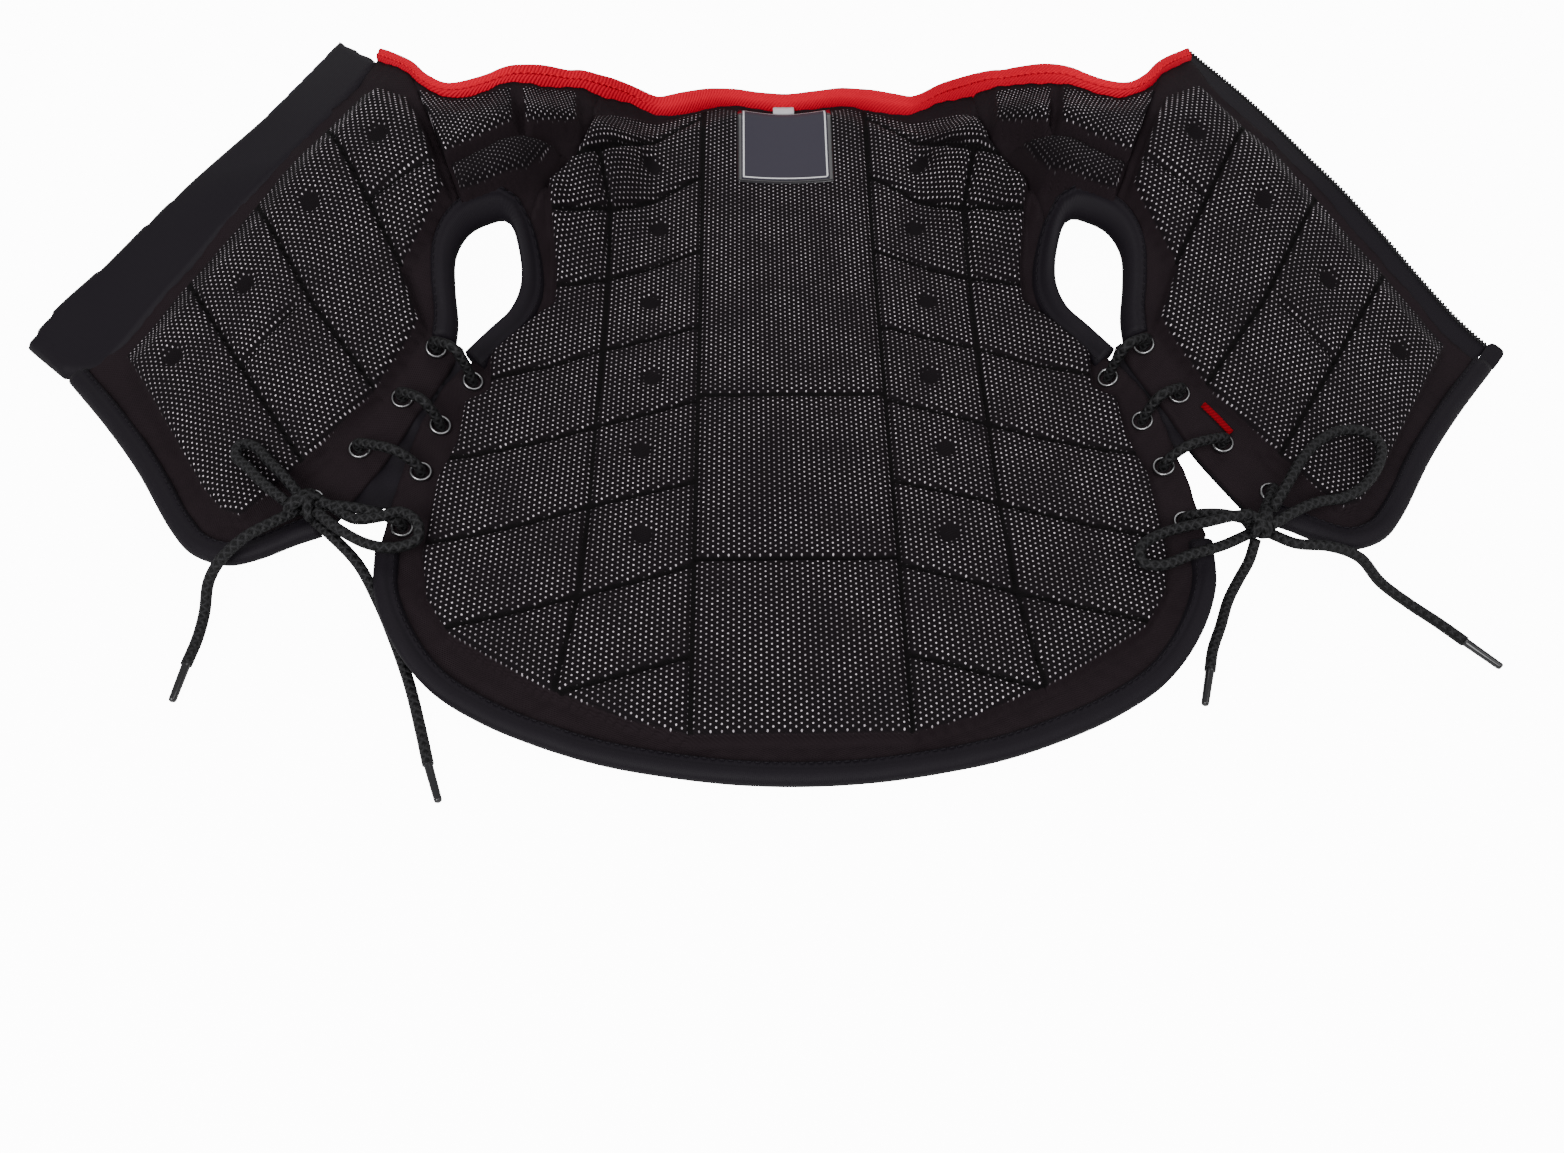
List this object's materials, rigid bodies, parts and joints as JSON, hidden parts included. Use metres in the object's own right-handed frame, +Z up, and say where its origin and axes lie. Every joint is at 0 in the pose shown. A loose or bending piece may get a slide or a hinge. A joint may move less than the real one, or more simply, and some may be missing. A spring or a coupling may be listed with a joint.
{
  "type": "equestrian body protector",
  "caption": "Padded riding vest opened flat with its mesh lining up: back panel, two front panels, padded shoulders, laced sides, zip edge and placket, bound edges.",
  "frame": {"origin": "middle of the vest's box, on the surface that it lies on", "axes": "+X across the opened vest to the front panel with the zip tape, +Y from the back hem to the neck, +Z up"},
  "size_m": [0.8362, 0.5037, 0.103],
  "materials": {
    "shell": "matte woven",
    "lining": "mesh over foam",
    "border": "smooth knit",
    "red": "twill tape",
    "lace": "braided",
    "metal": "polished",
    "plastic": "smooth",
    "label": "printed patch",
    "white": "woven tab"
  },
  "bodies": {
    "root": {"back_shell": "shell", "back_padding": "lining", "front_shell_right": "shell", "shoulder_shell_right": "shell", "front_padding_right": "lining", "shoulder_padding_right": "lining", "hem_binding_front_right": "border", "armhole_binding_right": "border", "eyelet_front_right_1": "metal", "eyelet_front_right_2": "metal", "eyelet_front_right_3": "metal", "eyelet_front_right_4": "metal", "eyelet_back_right_1": "metal", "eyelet_back_right_2": "metal", "eyelet_back_right_3": "metal", "eyelet_back_right_4": "metal", "lace_bar_right_1": "lace", "lace_bar_right_2": "lace", "lace_bar_right_3": "lace", "lace_knot_right": "lace", "lace_loop_right_1": "lace", "lace_tail_right_1": "lace", "lace_aglet_right_1": "plastic", "lace_loop_right_2": "lace", "lace_tail_right_2": "lace", "lace_aglet_right_2": "plastic", "front_shell_left": "shell", "shoulder_shell_left": "shell", "front_padding_left": "lining", "shoulder_padding_left": "lining", "hem_binding_front_left": "border", "armhole_binding_left": "border", "eyelet_front_left_1": "metal", "eyelet_front_left_2": "metal", "eyelet_front_left_3": "metal", "eyelet_front_left_4": "metal", "eyelet_back_left_1": "metal", "eyelet_back_left_2": "metal", "eyelet_back_left_3": "metal", "eyelet_back_left_4": "metal", "lace_bar_left_1": "lace", "lace_bar_left_2": "lace", "lace_bar_left_3": "lace", "lace_knot_left": "lace", "lace_loop_left_1": "lace", "lace_tail_left_1": "lace", "lace_aglet_left_1": "plastic", "lace_loop_left_2": "lace", "lace_tail_left_2": "lace", "lace_aglet_left_2": "plastic", "neck_binding": "red", "side_piping_right": "red", "hem_binding_back": "border", "placket": "border", "zip_tape": "border", "zip_coil": "border", "zip_end": "border", "label": "label", "label_tab": "white"}
  },
  "joints": []
}
